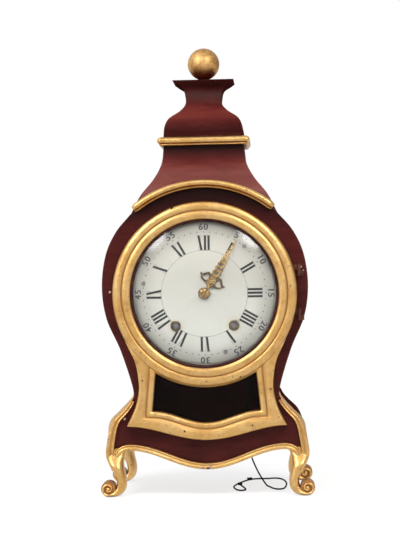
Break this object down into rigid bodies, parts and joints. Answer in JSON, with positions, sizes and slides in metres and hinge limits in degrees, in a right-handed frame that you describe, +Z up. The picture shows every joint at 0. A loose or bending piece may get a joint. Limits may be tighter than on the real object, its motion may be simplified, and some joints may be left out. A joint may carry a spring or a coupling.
{
  "type": "bracket clock",
  "caption": "Waisted bracket clock on scroll feet: round enamel dial behind a gilt hinged door, bell-shaped crown with ball finial, striking pendulum movement and repeat pull cord.",
  "frame": {"origin": "on the floor under the middle of the clock, without its cord", "axes": "+Z up, the dial faces -Y, +X is the viewer's right"},
  "size_m": [0.2932, 0.176, 0.6206],
  "materials": {
    "lacquer": "dark red lacquer over gesso, worn satin",
    "gilt": "worn water gilding on carved wood",
    "bare_wood": "unfinished inside wood",
    "glass": "clear polished",
    "enamel": "white fired enamel on copper",
    "hand_gilt": "gilt, pierced and engraved",
    "brass": "brushed and lacquered",
    "steel": "polished steel",
    "bell_bronze": "turned bell metal",
    "cord": "black braided cord"
  },
  "bodies": {
    "case": {"front_board": "lacquer", "case_side_left": "lacquer", "case_side_right": "lacquer", "back_board": "lacquer", "crown_lower": "lacquer", "crown_upper": "lacquer", "eyebrow_moulding": "gilt", "crown_moulding": "gilt", "finial": "gilt", "apron_rim": "gilt", "corner_moulding_left": "gilt", "corner_moulding_right": "gilt", "foot_front_left": "gilt", "foot_front_right": "gilt", "foot_back_left": "gilt", "foot_back_right": "gilt", "top_board": "bare_wood", "bottom_board": "bare_wood", "dial": "enamel", "back_hinge_upper": "brass", "back_hinge_lower": "brass", "door_hinge_upper": "brass", "door_hinge_lower": "brass", "front_plate": "brass", "back_plate": "brass", "dial_screw_1": "steel", "dial_screw_2": "steel", "dial_screw_3": "steel", "bell_stand": "steel", "bell": "bell_bronze", "cord_inner": "cord", "cord_free": "cord", "cord_knot": "cord"},
    "door": {"door_frame": "gilt", "dial_glass": "glass", "window_glass": "glass", "door_eye_upper": "brass", "door_eye_lower": "brass", "door_catch": "brass"},
    "back_door": {"back_door": "lacquer"},
    "going_barrel": {"going_barrel": "brass"},
    "going_arbor": {"going_arbor": "steel"},
    "intermediate": {"intermediate_wheel": "brass"},
    "centre": {"centre_wheel": "brass", "cannon_pinion": "steel", "minute_hand": "hand_gilt", "hand_nut": "brass"},
    "minute_wheel": {"minute_wheel": "brass"},
    "hour": {"hour_wheel": "brass", "hour_hand": "hand_gilt"},
    "third": {"third_wheel": "brass"},
    "escape": {"escape_wheel": "brass"},
    "pallets": {"pallets": "steel"},
    "pendulum": {"pendulum": "brass"},
    "strike_barrel": {"strike_barrel": "brass"},
    "strike_arbor": {"strike_arbor": "steel"},
    "pin_wheel": {"pin_wheel": "brass"},
    "fly": {"fly": "brass"},
    "hammer": {"hammer": "steel"},
    "repeat_lever": {"repeat_lever": "steel"}
  },
  "joints": [
    {"name": "door_swing", "type": "hinge", "parent": "case", "child": "door", "pos_m": [0.1286, -0.0648, 0.275], "axis": [0, 0, 1], "range_deg": [0, 100]},
    {"name": "back_door_swing", "type": "hinge", "parent": "case", "child": "back_door", "pos_m": [0.06815, 0.08515, 0.26], "axis": [0, 0, -1], "range_deg": [0, 110]},
    {"name": "centre_spin", "type": "hinge", "parent": "case", "child": "centre", "pos_m": [0, 0, 0.275], "axis": [0, 1, 0], "continuous": true},
    {"name": "going_barrel_spin", "type": "hinge", "parent": "case", "child": "going_barrel", "pos_m": [0.0393, 0, 0.2316], "axis": [0, 1, 0], "continuous": true},
    {"name": "intermediate_spin", "type": "hinge", "parent": "case", "child": "intermediate", "pos_m": [0.02682, 0, 0.26452], "axis": [0, 1, 0], "continuous": true},
    {"name": "third_spin", "type": "hinge", "parent": "case", "child": "third", "pos_m": [-0.01783, 0, 0.29567], "axis": [0, 1, 0], "continuous": true},
    {"name": "escape_spin", "type": "hinge", "parent": "case", "child": "escape", "pos_m": [0, 0, 0.312], "axis": [0, 1, 0], "continuous": true},
    {"name": "minute_wheel_spin", "type": "hinge", "parent": "case", "child": "minute_wheel", "pos_m": [0, 0, 0.299], "axis": [0, 1, 0], "continuous": true},
    {"name": "hour_spin", "type": "hinge", "parent": "case", "child": "hour", "pos_m": [0, 0, 0.275], "axis": [0, 1, 0], "continuous": true},
    {"name": "going_wind", "type": "hinge", "parent": "case", "child": "going_arbor", "pos_m": [0.0393, 0, 0.2316], "axis": [0, 1, 0], "continuous": true},
    {"name": "pendulum_swing", "type": "hinge", "parent": "case", "child": "pendulum", "pos_m": [0, 0.016, 0.335], "axis": [0, 1, 0], "range_deg": [-6, 6]},
    {"name": "pallet_rock", "type": "hinge", "parent": "case", "child": "pallets", "pos_m": [0, 0, 0.335], "axis": [0, 1, 0], "range_deg": [-6, 6]},
    {"name": "strike_barrel_spin", "type": "hinge", "parent": "case", "child": "strike_barrel", "pos_m": [-0.0393, 0, 0.2316], "axis": [0, 1, 0], "continuous": true},
    {"name": "pin_wheel_spin", "type": "hinge", "parent": "case", "child": "pin_wheel", "pos_m": [-0.02682, 0, 0.26452], "axis": [0, 1, 0], "continuous": true},
    {"name": "fly_spin", "type": "hinge", "parent": "case", "child": "fly", "pos_m": [-0.04683, 0, 0.27607], "axis": [0, 1, 0], "continuous": true},
    {"name": "strike_wind", "type": "hinge", "parent": "case", "child": "strike_arbor", "pos_m": [-0.0393, 0, 0.2316], "axis": [0, 1, 0], "continuous": true},
    {"name": "hammer_lift", "type": "hinge", "parent": "case", "child": "hammer", "pos_m": [-0.048, 0, 0.315], "axis": [0, 1, 0], "range_deg": [-10, 0], "stiffness_Nm_per_rad": 0.03, "springref_deg": 8.59},
    {"name": "repeat_pull", "type": "hinge", "parent": "case", "child": "repeat_lever", "pos_m": [0.02, 0.0063, 0.203], "axis": [0, 1, 0], "range_deg": [0, 12], "stiffness_Nm_per_rad": 0.05, "springref_deg": -11.46}
  ],
  "couplings": [
    {"joint": "intermediate_spin", "follows": "centre_spin", "ratio": -0.125},
    {"joint": "going_barrel_spin", "follows": "centre_spin", "ratio": 0.0125},
    {"joint": "third_spin", "follows": "centre_spin", "ratio": -12},
    {"joint": "escape_spin", "follows": "centre_spin", "ratio": 144},
    {"joint": "minute_wheel_spin", "follows": "centre_spin", "ratio": -0.33333},
    {"joint": "hour_spin", "follows": "centre_spin", "ratio": 0.083333},
    {"joint": "pallet_rock", "follows": "pendulum_swing", "ratio": 1},
    {"joint": "pin_wheel_spin", "follows": "strike_barrel_spin", "ratio": -10},
    {"joint": "fly_spin", "follows": "strike_barrel_spin", "ratio": 100}
  ]
}
